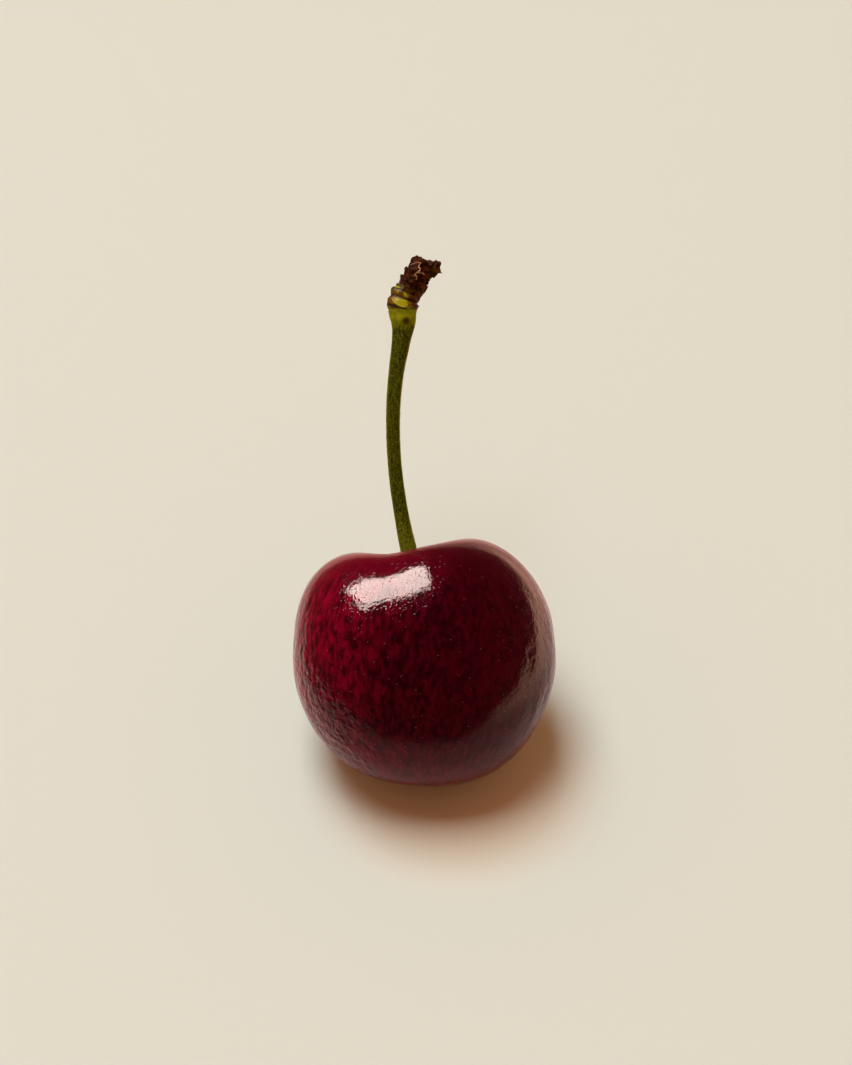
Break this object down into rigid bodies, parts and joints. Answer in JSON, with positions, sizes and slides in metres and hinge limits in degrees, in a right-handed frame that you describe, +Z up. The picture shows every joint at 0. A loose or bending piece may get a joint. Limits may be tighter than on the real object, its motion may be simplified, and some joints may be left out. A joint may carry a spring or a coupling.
{
  "type": "cherry",
  "caption": "Ripe dark sweet cherry as picked, lying on its flank, with its green stem and the torn, scaly end of the spur it grew on.",
  "frame": {"origin": "middle of the small flat spot on the fruit's lower back, on the surface it rests on", "axes": "+Z up from the surface; +X across the fruit's cheeks, to the right of someone who looks at its seam side; +Y towards the back, where the stem leans"},
  "size_m": [0.028, 0.0442, 0.0446],
  "materials": {
    "fruit_skin": "gloss",
    "green_stem": "satin",
    "spur_bark": "matte",
    "dried_scale": "matte"
  },
  "bodies": {
    "root": {"fruit": "fruit_skin", "stem": "green_stem", "spur_stub": "spur_bark", "bud_scale_1": "dried_scale", "bud_scale_2": "dried_scale", "bud_scale_3": "dried_scale", "bud_scale_4": "dried_scale", "bud_scale_5": "dried_scale", "bud_scale_6": "dried_scale", "torn_flap": "dried_scale"}
  },
  "joints": []
}
